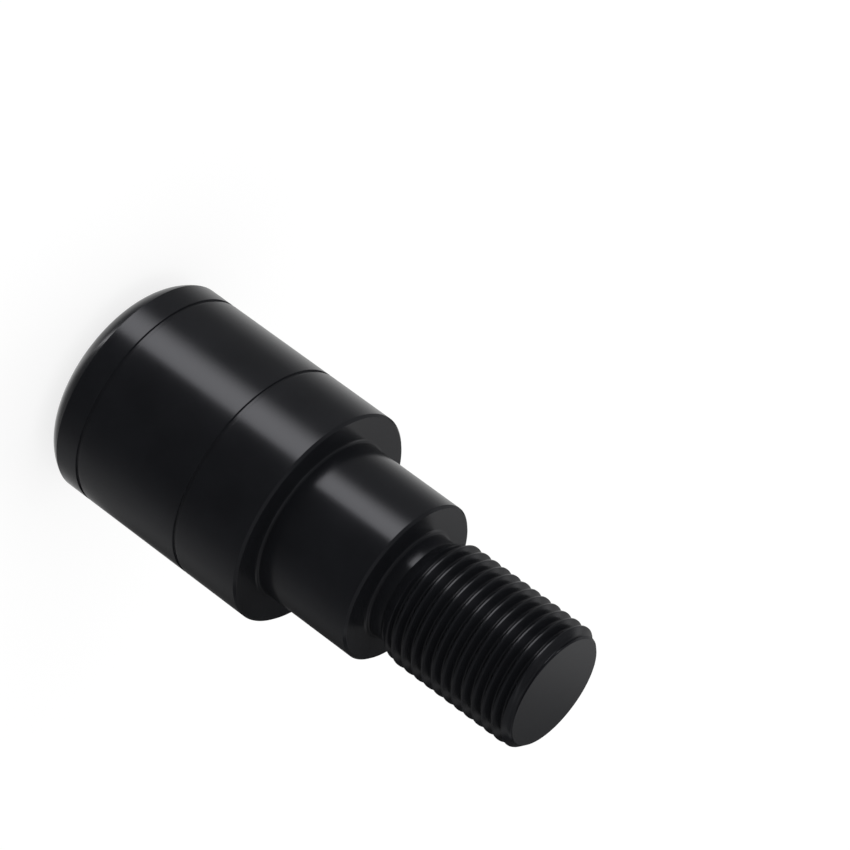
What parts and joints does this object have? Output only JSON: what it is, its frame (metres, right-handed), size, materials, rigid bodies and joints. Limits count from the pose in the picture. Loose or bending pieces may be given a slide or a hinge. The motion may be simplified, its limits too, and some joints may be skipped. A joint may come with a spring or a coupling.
{
  "type": "bar end",
  "caption": "Round black bar end with hairline grooves, a domed nose with a hex socket, a stepped spigot and a threaded stud.",
  "frame": {"origin": "on the turning axis, in the plane of the countersink's rim, which is the lowest point of the nose that the part stands on", "axes": "+Z along the turning axis, from the nose through the shoulder to the tip of the stud; two corners of the hex socket lie on X"},
  "size_m": [0.0282, 0.0282, 0.068],
  "materials": {
    "black_anodised": "satin black anodised"
  },
  "bodies": {
    "root": {"bar_end": "black_anodised"}
  },
  "joints": []
}
